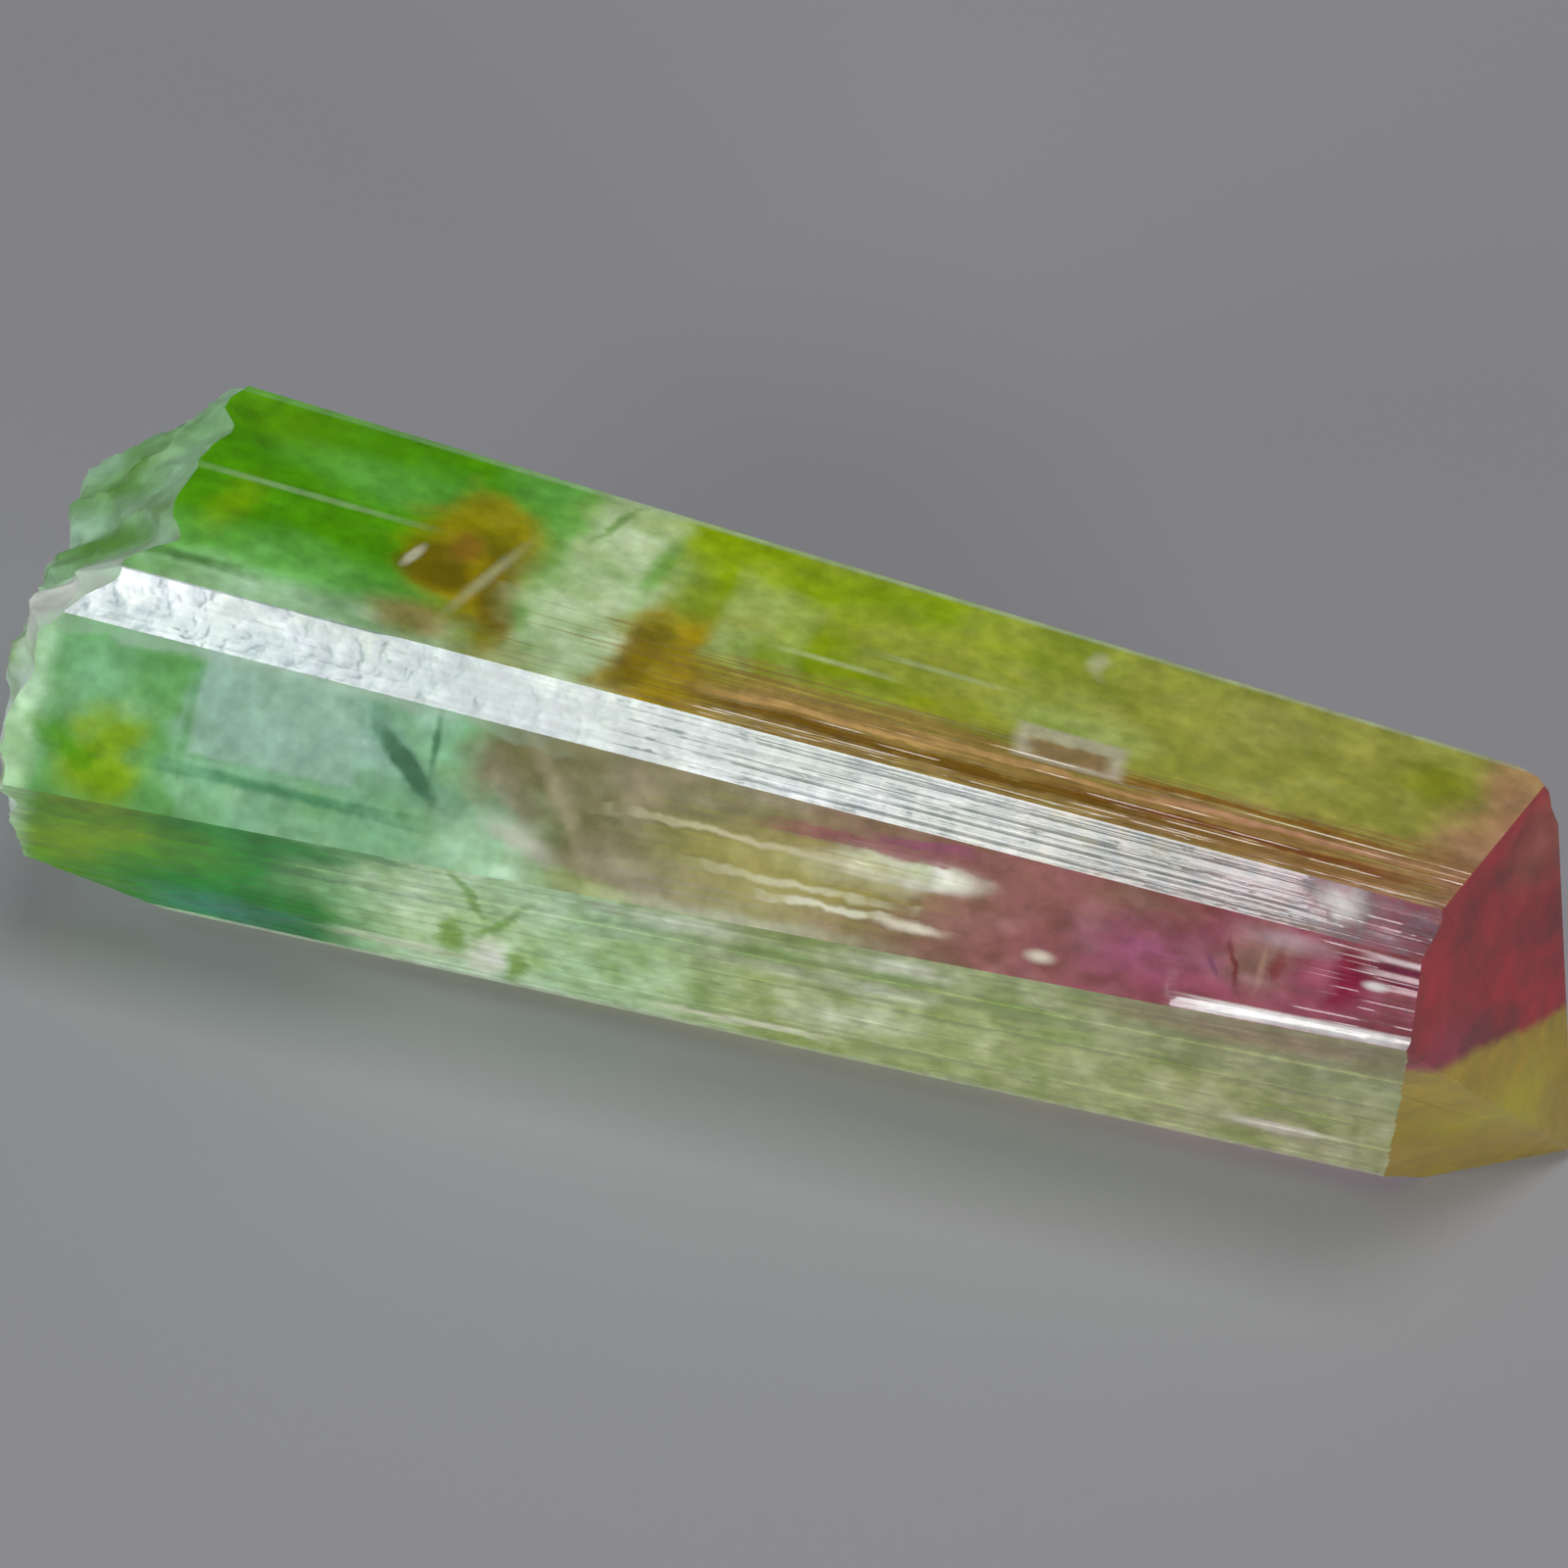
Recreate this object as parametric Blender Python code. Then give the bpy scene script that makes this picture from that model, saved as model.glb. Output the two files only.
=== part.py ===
"""Tourmaline crystal: a long striated prism lying on one flat side, pointed at one end, broken at the other.

Lengths are in metres. X runs along the crystal towards its point and Z is up. The origin is on the
surface that the crystal lies on, below the middle of its bounding box.
"""

import math
import random
from collections import namedtuple

import bmesh
import bpy
import numpy as np
from mathutils import Vector, noise

MM = 0.001

# The prism. A face is a flat plane round the crystal's long axis, which is level.
# turn: where its outward normal points, in degrees about the axis: 0 at the front, 90 up, 180 at the back
# lean: how far the face closes in towards the point, in degrees
# reach: its distance from the axis at the crystal's middle
# steps: how many growth steps run along it
# relief: how deep those steps are
AXIS_HEIGHT = 6.6 * MM
Face = namedtuple("Face", "turn lean reach steps relief")
PRISM = (
    Face(turn=-30.0, lean=2.76, reach=5.743 * MM, steps=8, relief=0.10 * MM),  # lower front, broad
    Face(turn=30.0, lean=-1.65, reach=9.048 * MM, steps=10, relief=0.12 * MM),  # front, broad
    Face(turn=60.0, lean=-1.65, reach=9.184 * MM, steps=7, relief=0.10 * MM),  # upper front, narrow
    Face(turn=90.0, lean=-1.04, reach=7.777 * MM, steps=12, relief=0.12 * MM),  # top, broad
    Face(turn=150.0, lean=3.60, reach=7.40 * MM, steps=8, relief=0.12 * MM),  # upper back, broad
    Face(turn=180.0, lean=3.00, reach=7.34 * MM, steps=5, relief=0.10 * MM),  # back, narrow
    Face(turn=210.0, lean=2.50, reach=7.25 * MM, steps=6, relief=0.10 * MM),  # lower back
    Face(turn=270.0, lean=0.0, reach=AXIS_HEIGHT, steps=0, relief=0.0),  # the flat side it lies on
    Face(turn=300.0, lean=1.59, reach=6.749 * MM, steps=0, relief=0.0),  # lower front, narrow
)
STEP_RISER = 0.012  # width of a step's riser, as a share of its face
STEP_JITTER = 0.32  # how far a step strays from even spacing, as a share of that spacing
EDGE_BAND = 0.05  # share of a face beside each corner that stays free of steps
STEP_WANDER = 14.0 * MM  # length over which a step's depth changes
STATION_COUNT = 7
BLANK_START = -29.0 * MM
BLANK_END = 29.0 * MM

# The point. Four steep faces and one small corner face meet the prism; the four share the apex.
APEX = Vector((25.86, 1.78, 0.44)) * MM
POINT_FACES = (
    Vector((0.903, -0.321, 0.285)),  # upper front, the largest
    Vector((0.490, -0.770, -0.400)),  # lower front
    Vector((1.000, 0.500, 0.269)),  # upper back
    Vector((1.000, 0.244, -0.523)),  # lower back
)
CORNER_PLACE = Vector((20.90, 2.20, 14.60)) * MM
CORNER_NORMAL = Vector((0.40, 0.82, 0.41))

# The break. It runs across the prism as six slopes, the highest of which is the surface, and a shelf
# chipped out of the top face's rim, which follows the lower one of its own two slopes.
# place: a point on the slope; rise_y and rise_z: how far it climbs along X per length along Y and Z
Slope = namedtuple("Slope", "place rise_y rise_z")
BREAK_SLOPES = (
    Slope(Vector((-25.15, -8.83, 7.90)) * MM, -0.29, 0.0),  # front
    Slope(Vector((-25.75, 2.00, 9.00)) * MM, 0.03, 0.04),  # main break, square to the axis
    Slope(Vector((-24.00, -4.30, 13.90)) * MM, -0.27, 1.05),  # upper front
    Slope(Vector((-24.70, 2.25, 13.13)) * MM, 0.675, 0.804),  # upper back
    Slope(Vector((-24.78, 0.0, 5.00)) * MM, 0.0, -0.23),  # lower
    Slope(Vector((-23.71, 0.0, 2.34)) * MM, 0.0, -2.30),  # undercut above the surface it lies on
)
SHELF_SLOPES = (
    Slope(Vector((-22.10, 0.0, 14.00)) * MM, 0.02, 1.15),
    Slope(Vector((-21.80, -2.15, 14.00)) * MM, 1.02, 1.00),
)
IMPACT = Vector((0.0, 4.5, 15.0)) * MM  # the shell-like ripples spread from here
RIPPLE_SPACING = 2.9 * MM
RIPPLE_HEIGHT = 0.09 * MM
LUMP_SPACING = 2.4 * MM
LUMP_HEIGHT = 0.22 * MM
LATTICE_SIZE = 24  # cells along each side of the square lattice that the lumps stand on
BREAK_CELL = 0.62 * MM
BREAK_WIDTH = 24.0 * MM
BREAK_DEPTH = 12.0 * MM

# Chips knocked out of the prism's edges: place on the edge, length, width
Chip = namedtuple("Chip", "place length width")
EDGE_CHIPS = (
    Chip(Vector((-13.5, -4.0, 0.55)) * MM, 1.7 * MM, 0.7 * MM),
    Chip(Vector((-8.7, -3.7, 0.60)) * MM, 2.6 * MM, 0.8 * MM),
    Chip(Vector((11.8, -2.6, 0.62)) * MM, 2.2 * MM, 0.6 * MM),
    Chip(Vector((1.9, -8.55, 10.05)) * MM, 2.4 * MM, 0.45 * MM),
    Chip(Vector((-23.0, -8.85, 8.15)) * MM, 1.5 * MM, 0.7 * MM),
    Chip(Vector((16.5, -6.85, 13.85)) * MM, 2.0 * MM, 0.5 * MM),
    Chip(Vector((-16.4, 5.40, 14.05)) * MM, 1.9 * MM, 0.6 * MM),
    Chip(Vector((7.9, 6.93, 8.40)) * MM, 2.4 * MM, 0.7 * MM),
)
CHIP_ROUGHNESS = 0.30

# Material
TOURMALINE_COLOUR = (0.28, 0.42, 0.14, 1.0)
TOURMALINE_ROUGHNESS = 0.12

SEED = 11
MERGE_DISTANCE = 0.002 * MM


def clear_scene():
    """Remove what a new file holds."""
    for obj in list(bpy.data.objects):
        bpy.data.objects.remove(obj, do_unlink=True)


def new_collection(name):
    """Add a collection to the scene."""
    collection = bpy.data.collections.new(name)
    bpy.context.scene.collection.children.link(collection)
    return collection


def new_object(name, bm, collection):
    """Turn a bmesh into an object and free the bmesh."""
    mesh = bpy.data.meshes.new(name)
    bm.to_mesh(mesh)
    bm.free()
    obj = bpy.data.objects.new(name, mesh)
    collection.objects.link(obj)
    return obj


def face_axes(face):
    """Give the face's outward direction and its lean as a shift of its reach per length along X."""
    turn = math.radians(face.turn)
    outward = Vector((0.0, -math.cos(turn), math.sin(turn)))
    return outward, math.tan(math.radians(face.lean))


def corner(face_a, face_b, x):
    """Where two neighbouring faces meet in the cross-section at x."""
    out_a, close_a = face_axes(face_a)
    out_b, close_b = face_axes(face_b)
    reach_a = face_a.reach - close_a * x
    reach_b = face_b.reach - close_b * x
    det = out_a.y * out_b.z - out_a.z * out_b.y
    y = (reach_a * out_b.z - reach_b * out_a.z) / det
    z = (out_a.y * reach_b - out_b.y * reach_a) / det
    return Vector((x, y, z + AXIS_HEIGHT))


def growth_steps(face, rng):
    """Pick the steps of a face: the share of its width where each riser stands, and the level after it."""
    steps = []
    for index in range(face.steps):
        slot = (index + 0.5 + rng.uniform(-STEP_JITTER, STEP_JITTER)) / face.steps
        share = EDGE_BAND + slot * (1.0 - 2 * EDGE_BAND)
        last = index == face.steps - 1
        level = 0.0 if last else rng.uniform(0.0, 1.0) * face.relief
        steps.append((share, level))
    return steps


def step_depth(level, share, x):
    """Let a step's depth wander along the crystal."""
    drift = noise.noise(Vector((x / STEP_WANDER, share * 40.0, 0.0)))
    return level * (1.0 + 0.7 * drift)


def cross_section(x, steps_of_faces):
    """Outline of the prism at x: its corners, with the risers of the growth steps between them."""
    points = []
    for index, face in enumerate(PRISM):
        start = corner(PRISM[index - 1], face, x)
        end = corner(face, PRISM[(index + 1) % len(PRISM)], x)
        outward, _ = face_axes(face)
        points.append(start)
        level_before = 0.0
        for share, level in steps_of_faces[index]:
            foot = start.lerp(end, share - STEP_RISER / 2)
            head = start.lerp(end, share + STEP_RISER / 2)
            points.append(foot - outward * step_depth(level_before, share, x))
            points.append(head - outward * step_depth(level, share, x))
            level_before = level
    return points


def make_prism():
    """Loft the striated prism through its cross-sections and close both ends."""
    rng = random.Random(SEED)
    steps_of_faces = [growth_steps(face, rng) for face in PRISM]
    bm = bmesh.new()
    rings = []
    for station in range(STATION_COUNT):
        x = BLANK_START + (BLANK_END - BLANK_START) * station / (STATION_COUNT - 1)
        rings.append([bm.verts.new(point) for point in cross_section(x, steps_of_faces)])
    for ring, next_ring in zip(rings, rings[1:]):
        for index in range(len(ring)):
            bm.faces.new((ring[index - 1], ring[index], next_ring[index], next_ring[index - 1]))
    bmesh.ops.triangulate(bm, faces=bm.faces[:])
    bm.faces.new(rings[0])
    bm.faces.new(rings[-1])
    bmesh.ops.recalc_face_normals(bm, faces=bm.faces[:])
    return bm


def slice_off(bm, place, normal):
    """Cut the solid along a plane, drop what lies beyond it and close the cut with one flat face."""
    everything = bm.verts[:] + bm.edges[:] + bm.faces[:]
    bmesh.ops.bisect_plane(
        bm, geom=everything, dist=MERGE_DISTANCE, plane_co=place, plane_no=normal.normalized(), clear_outer=True
    )
    rim = [edge for edge in bm.edges if edge.is_boundary]
    bmesh.ops.contextual_create(bm, geom=rim)


def cut_point(bm):
    """Give the prism its pointed end."""
    for normal in POINT_FACES:
        slice_off(bm, APEX, normal)
    slice_off(bm, CORNER_PLACE, CORNER_NORMAL)
    bmesh.ops.recalc_face_normals(bm, faces=bm.faces[:])


def slope_height(slope, y, z):
    """X of a slope above points of the cross-section."""
    return slope.place.x + slope.rise_y * (y - slope.place.y) + slope.rise_z * (z - slope.place.z)


def lumps(y, z):
    """Smooth bumps between -1 and 1: random heights on a square lattice, eased into each other."""
    heights = np.random.default_rng(SEED).uniform(-1.0, 1.0, (LATTICE_SIZE + 1, LATTICE_SIZE + 1))
    along_y = y / LUMP_SPACING + LATTICE_SIZE / 2
    along_z = z / LUMP_SPACING + LATTICE_SIZE / 2
    row = np.floor(along_y).astype(int)
    column = np.floor(along_z).astype(int)
    ease_y = (along_y - row) ** 2 * (3.0 - 2.0 * (along_y - row))
    ease_z = (along_z - column) ** 2 * (3.0 - 2.0 * (along_z - column))
    near = heights[row, column] * (1 - ease_z) + heights[row, column + 1] * ease_z
    far = heights[row + 1, column] * (1 - ease_z) + heights[row + 1, column + 1] * ease_z
    return near * (1 - ease_y) + far * ease_y


def break_height(y, z):
    """X of the broken surface: its slopes, with shell-like ripples and lumps on them."""
    height = np.max([slope_height(slope, y, z) for slope in BREAK_SLOPES], axis=0)
    shelf = np.min([slope_height(slope, y, z) for slope in SHELF_SLOPES], axis=0)
    away = np.hypot(y - IMPACT.y, z - IMPACT.z)
    ripple = np.sin(2 * np.pi * away / RIPPLE_SPACING)
    return np.maximum(height, shelf) + RIPPLE_HEIGHT * ripple + LUMP_HEIGHT * lumps(y, z)


def make_break_cutter(collection):
    """Everything beyond the broken surface, as one closed block."""
    cells = round(BREAK_WIDTH / BREAK_CELL)
    bm = bmesh.new()
    bmesh.ops.create_grid(bm, x_segments=cells, y_segments=cells, size=BREAK_WIDTH / 2)
    places = np.array([vert.co for vert in bm.verts])
    y = places[:, 0]
    z = places[:, 1] + AXIS_HEIGHT
    for vert, place in zip(bm.verts, np.stack((break_height(y, z), y, z), axis=-1)):
        vert.co = place
    outer = bmesh.ops.extrude_face_region(bm, geom=bm.faces[:])["geom"]
    for item in outer:
        if isinstance(item, bmesh.types.BMVert):
            item.co.x = BLANK_START - BREAK_DEPTH
    bmesh.ops.recalc_face_normals(bm, faces=bm.faces[:])
    return new_object("break_cutter", bm, collection)


def make_chip_cutter(index, chip, collection):
    """A rough pebble, laid along the edge that it chips."""
    bm = bmesh.new()
    bmesh.ops.create_icosphere(bm, subdivisions=1, radius=1.0)
    for vert in bm.verts:
        bump = noise.noise(vert.co * 1.3 + Vector((index * 7.0, 0.0, 0.0)))
        rough = vert.co * (1.0 + CHIP_ROUGHNESS * bump)
        vert.co = chip.place + Vector((rough.x * chip.length / 2, rough.y * chip.width, rough.z * chip.width))
    return new_object(f"chip_cutter_{index}", bm, collection)


def cut_away(target, cutter):
    """Take the cutter's shape out of the target with a Boolean modifier."""
    cutter.hide_render = True
    cutter.display_type = "WIRE"
    boolean = target.modifiers.new(cutter.name, "BOOLEAN")
    boolean.operation = "DIFFERENCE"
    boolean.solver = "EXACT"
    boolean.object = cutter


def make_material():
    """Clear bluish to yellowish green stone with a glassy surface."""
    material = bpy.data.materials.new("tourmaline")
    material.use_nodes = True
    shader = material.node_tree.nodes["Principled BSDF"]
    shader.inputs["Base Color"].default_value = TOURMALINE_COLOUR
    shader.inputs["Roughness"].default_value = TOURMALINE_ROUGHNESS
    shader.inputs["Metallic"].default_value = 0.0
    return material


def main():
    """Build the crystal."""
    clear_scene()
    parts = new_collection("tourmaline crystal")
    cutters = new_collection("cutters")
    bm = make_prism()
    cut_point(bm)
    crystal = new_object("tourmaline_crystal", bm, parts)
    crystal.data.materials.append(make_material())
    cut_away(crystal, make_break_cutter(cutters))
    for index, chip in enumerate(EDGE_CHIPS):
        cut_away(crystal, make_chip_cutter(index, chip, cutters))


main()
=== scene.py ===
"""A two-colour tourmaline crystal lying on one prism face: the finished surface, its stone and its light."""
import math
from collections import namedtuple

import bpy
import numpy as np
from mathutils import Matrix, Vector


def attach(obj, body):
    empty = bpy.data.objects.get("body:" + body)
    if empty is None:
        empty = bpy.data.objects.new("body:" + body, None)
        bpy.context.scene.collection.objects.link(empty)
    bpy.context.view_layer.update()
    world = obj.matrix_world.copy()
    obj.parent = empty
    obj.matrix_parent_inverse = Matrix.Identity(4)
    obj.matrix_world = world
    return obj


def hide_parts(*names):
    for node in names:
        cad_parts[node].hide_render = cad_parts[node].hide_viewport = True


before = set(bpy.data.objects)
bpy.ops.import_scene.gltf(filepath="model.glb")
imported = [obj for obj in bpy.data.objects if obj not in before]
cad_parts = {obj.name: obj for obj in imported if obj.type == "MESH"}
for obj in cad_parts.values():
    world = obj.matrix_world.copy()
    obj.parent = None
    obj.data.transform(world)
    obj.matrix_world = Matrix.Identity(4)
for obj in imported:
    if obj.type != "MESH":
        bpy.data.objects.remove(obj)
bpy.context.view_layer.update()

NODE = "tourmaline_crystal"
MM = 0.001  # sizes below are in millimetres unless a comment says otherwise

# ---------------------------------------------------------------------------------------------------
# Shape of the crystal, in the frame's own axes: X to the point, Z up, -Y to the front
# ---------------------------------------------------------------------------------------------------
AXIS_HEIGHT = 6.6  # the long axis above the surface that the crystal lies on

# turn: where the face points, in degrees about the long axis from the front; lean: how far it closes in
# towards the point, in degrees; reach: distance from the axis; steps: growth steps on it; relief: their
# depth; crowd: above 1 the steps gather at the face's first edge; taper: how fast they fade away from that
# edge; swell: how strong the steps are along X
Face = namedtuple("Face", "name turn lean reach steps relief crowd taper swell")
EVEN = ((0, 1.0),)
PRISM = (
    Face("lower_front", -30.0, 2.76, 5.743, 34, 0.040, 1.0, 0.0,
         ((-20, 0.3), (-8, 0.6), (8, 1.0), (18, 1.0))),
    Face("front", 30.0, -1.65, 9.048, 36, 0.050, 1.0, 0.0,
         ((-12, 0.0), (-8, 0.05), (-3, 0.3), (1, 0.5), (4, 0.4), (6, 0.12), (13, 0.12), (16, 0.6),
          (18, 1.2))),
    Face("stripe", 60.0, -1.65, 9.184, 22, 0.045, 1.0, 0.0,
         ((-9, 0.0), (-4, 0.3), (0, 1.0), (9, 1.2), (13, 1.0), (16, 0.5), (18, 0.6))),
    Face("top", 90.0, -1.04, 7.777, 48, 0.045, 2.2, 4.0,
         ((-10, 0.0), (-6, 0.3), (-3, 0.8), (2, 1.0), (18, 1.0))),
    Face("upper_back", 150.0, 3.60, 7.40, 14, 0.060, 1.0, 0.0, EVEN),
    Face("back", 180.0, 3.00, 7.34, 8, 0.060, 1.0, 0.0, EVEN),
    Face("lower_back", 210.0, 2.50, 7.25, 10, 0.060, 1.0, 0.0, EVEN),
    Face("rest", 270.0, 0.0, AXIS_HEIGHT, 0, 0.0, 1.0, 0.0, EVEN),
    Face("under_front", 300.0, 1.59, 6.749, 3, 0.030, 1.0, 0.0, EVEN),
)
FACE_COUNT = len(PRISM)
LEAST_STEP = 0.007  # lower growth steps are worn away
RISER_SLOPE = math.tan(math.radians(30.0))  # a riser lies in the next crystal face, 30 degrees round
OUTWARD_RISER = 3.0  # risers that climb outward are this much steeper
RISER_HALF_WIDTHS = (0.10, 0.35)  # least and most, as shares of the mean spacing of the steps
STEP_SHAKE = 0.3  # how far a step strays from even spacing, as a share of it
STEP_MARGIN = 0.02  # share of the face's width left free of steps at each edge
STEP_TILT = 0.08  # how far a growth step leans, as a share of the relief
LOW_STEPS = 1.5  # above 1 most steps are low ones
SETTLE_ROUNDS = 10  # how often the end of a line is worked out anew

# Larger steps of single faces: drops below the face at shares of its width, between two places along X
Ledge = namedtuple("Ledge", "face profile start end fade")
LEDGES = (
    Ledge("top", ((0.0, 0.03), (0.600, 0.03), (0.640, 0.0), (1.0, 0.0)), -30.0, -13.0, 3.0),
    Ledge("stripe", ((0.0, 0.0), (0.38, 0.05), (1.0, 0.0)), -30.0, -11.0, 5.0),
    Ledge("stripe", ((0.0, 0.0), (0.5, 0.18), (0.85, 0.34), (1.0, 0.0)), 14.2, 40.0, 2.2),
    Ledge("front", ((0.0, 0.0), (0.008, 0.0), (0.095, 0.20), (0.9, 0.0), (1.0, 0.0)), 10.8, 20.0, 1.0),
)

# The point: planes through one apex, and a small corner plane
APEX = np.array((25.86, 1.78, 0.44))
POINT_NORMALS = np.array(
    ((0.903, -0.321, 0.285), (0.490, -0.770, -0.400), (1.000, 0.500, 0.269), (1.000, 0.244, -0.523))
)
CORNER_PLACE = np.array((20.90, 2.20, 14.60))
CORNER_NORMAL = np.array((0.40, 0.82, 0.41))

# The break: slopes as (x, y, z of a point, climb along Y, climb along Z)
BREAK_SLOPES = (
    (-25.15, -8.83, 7.90, -0.29, 0.0),
    (-25.75, 2.00, 9.00, 0.03, 0.04),
    (-24.00, -4.30, 13.90, -0.27, 1.05),
    (-24.70, 2.25, 13.13, 0.675, 0.804),
    (-24.78, 0.0, 5.00, 0.0, -0.23),
    (-23.71, 0.0, 2.34, 0.0, -2.30),
)
SHELF_SLOPES = ((-22.10, 0.0, 14.00, 0.02, 1.15), (-21.80, -2.15, 14.00, 1.02, 1.00))
IMPACT = (4.5, 15.0)  # the shell-like ripples spread from here
RIPPLE_SPACING = 2.9
RIPPLE_HEIGHT = 0.09
LUMPS = ((2.4, 0.20), (0.95, 0.07), (0.42, 0.03))  # cell and height of each size of lump on the break
BITE_SIZE = 1.15  # of the shell-shaped bites in the break
BITE_DEPTH = 0.75
BITE_LEAST_HEIGHT = 3.0  # there are none lower down
BITE_FADE = 6.0  # they deepen over this height
LATTICE_SIZE = 64  # cells after which a pattern of lumps repeats itself

# Rings of the mesh: along the prism, on the broken end and on the point
RINGS_ALONG = 186
RINGS_BREAK = 46
RINGS_POINT = 36
RING_CROWD = 0.8  # below 1 the rings of the broken end gather at its rim
SHARP_ANGLE = math.radians(17.0)  # edges sharper than this stay crisp

# The face chart, a flat map of the whole surface in millimetres: every prism face is a band of its own,
# X along it, and the two ends are laid out by Y and Z
BAND = 20.0  # one prism face every 20 mm, counted from the lower front
BREAK_CHART = 200.0
POINT_CHART = 240.0
CHART_START = {face.name: BAND * index for index, face in enumerate(PRISM)}
CHART_START.update(broken=BREAK_CHART, point=POINT_CHART)
END_REACH = 18.0  # the two ends take up less than this on the chart, above and below their start
PATCH_REACH = 10.0  # no patch reaches further below its face's start
STRIPE_REACH = 2.5  # the stripe is narrower than this
LOWER_FRONT_MIDDLE = 5.3
LOWER_FRONT_HALF = 6.0  # half the lower front's width, with a little to spare

# ---------------------------------------------------------------------------------------------------
# Colours
# ---------------------------------------------------------------------------------------------------
LIGHT_MOTTLE = 0.45  # how strongly the stone's colour lightens and darkens from fleck to fleck
MOTTLE_TINT = np.array((0.95, 0.75, 1.4))  # dark flecks are yellower, light ones whiter
MILK_MOTTLE = 0.8  # how milky the milky flecks are
CALM_MOTTLE = 0.85  # how strong the mottle is on the smooth faces; the lower front and the break have 1
POINT_MOTTLE = 1.25
ZONE_WANDER = (0.7, 0.5)  # how far the colour zones wander along X and across it
TEAR = 1.6  # how far the mottle can tear the rim of a patch, in half sizes
GRAIN = 0.6  # size of the fine grain in the stone
CLOUD = 1.6  # size of its soft clouds
HAIRLINE = (5.0, 0.16)  # length and width of the hairlines along the crystal; finer ones wouldn't show
SMOOTH_RIM = 0.25  # marks less ragged than this aren't pulled about
MARK_WARP = (1.4, 0.9, 0.0)  # how far the others are pulled, from end to end
MARK_WARP_CELL = 2.2
ROUGHNESS = (0.09, 0.26)  # of the clearest and of the cloudiest places
BREAK_ROUGHNESS = 0.22  # how much duller the broken end is than the rest
HAIRLINE_DEPTH = 0.03
PIT_DEPTH = 0.04  # of the pits that frost the stripe and the broken end

# The stone's own tints as they lie in it, with painted highlight on the stripe; the gloss and the light
# through it come on top
TINTS = {
    "vivid_green": "#64be00", "fresh_green": "#7dd75a", "leaf_green": "#6eaf64", "moss_green": "#69aa00",
    "lichen": "#8caf00", "deep_green": "#1e962d", "sea_green": "#5a8c73", "teal": "#3c8287",
    "clear_mint": "#a0c8b4", "mint": "#87be91", "pale_mint": "#c3ebbe", "haze": "#e1ffc3", "milk_and_sheen": "#f5f8eb",
    "spring_yellow": "#afd200", "lime_haze": "#cde687", "olive": "#aabe00", "muted_olive": "#bec855",
    "willow": "#a5b96e", "sage": "#b4c387", "straw": "#aaa58c",
    "brown_stain": "#b4a500", "ochre": "#cdaa00", "umber": "#917800", "copper": "#be7d28", "rust": "#8c4600",
    "honey": "#c8a55f", "bark": "#91876e", "salmon": "#cd9b73", "brick": "#a54b37",
    "mauve": "#91645f", "rose": "#9b5064", "dusty_rose": "#91505a", "orchid": "#a05a82", "plum": "#7d2864",
    "wine": "#821437", "crimson": "#a00514", "lilac": "#b9a5aa",
    "frost_and_glare": "#faffff", "pale_glare": "#c8dce1", "silver": "#beb4a5", "frosted_green": "#afd7b4",
}

# Colour zones along X, as growth laid them down, and the stripe's painted highlight. Each row takes over
# between two heights of the face chart.
Row = namedtuple("Row", "start full zones")
ROWS = (
    Row(-2.0, -1.0, (  # lower front, lower half
        (-24, "moss_green"), (-20, "deep_green"), (-15, "deep_green"), (-12, "pale_mint"), (-6, "pale_mint"),
        (0, "willow"), (6, "sage"), (20, "sage"))),
    Row(3.5, 7.0, (  # lower front, upper half
        (-21, "moss_green"), (-17, "deep_green"), (-12, "pale_mint"), (-7, "pale_mint"), (-1, "willow"),
        (8, "sage"), (19, "sage"))),
    Row(12.0, 18.0, (  # front, lower half
        (-20.3, "leaf_green"), (-19.9, "mint"), (-10, "mint"), (-7.5, "bark"), (-2, "straw"), (4, "mauve"),
        (11, "rose"), (18, "rose"))),
    Row(21.0, 23.0, (  # front, upper half
        (-20.6, "leaf_green"), (-20.1, "clear_mint"), (-14, "clear_mint"), (-11.8, "mint"), (-10.3, "bark"),
        (-3, "bark"), (4, "mauve"), (13, "rose"), (19, "dusty_rose"))),
    # stripe: its white and pale blue are painted highlight, standing for the glare of the overhead light on
    # this face
    Row(30.0, 35.0, (  # stripe
        (-23, "frost_and_glare"), (-12, "pale_glare"), (0, "frost_and_glare"), (8, "silver"), (12, "lilac"), (19, "dusty_rose"))),
    Row(50.0, 55.0, (  # top, beside the stripe
        (-22, "fresh_green"), (-15, "fresh_green"), (-12, "brown_stain"), (-9.5, "haze"), (-8, "haze"),
        (-6.5, "ochre"), (-3, "honey"), (10, "honey"), (18, "salmon"), (20, "dusty_rose"))),
    Row(61.3, 63.6, (  # top, middle
        (-14, "vivid_green"), (-12.5, "brown_stain"), (-10, "fresh_green"), (-7.5, "haze"),
        (-5, "spring_yellow"), (2, "olive"), (12, "muted_olive"), (18, "muted_olive"), (20.5, "salmon"))),
    Row(65.0, 68.0, (  # top, far edge
        (-13, "vivid_green"), (-10.5, "fresh_green"), (-8, "lime_haze"), (-6, "spring_yellow"),
        (2, "spring_yellow"), (12, "muted_olive"), (19, "muted_olive"), (21, "salmon"))),
    Row(72.0, 78.0, (  # back and underside
        (-20, "leaf_green"), (-6, "olive"), (6, "muted_olive"), (14, "salmon"), (20, "rose"))),
    Row(190.0, 195.0, ((0, "frosted_green"),)),  # broken end
    Row(230.0, 235.0, ((0, "crimson"),)),  # point
)
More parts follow.
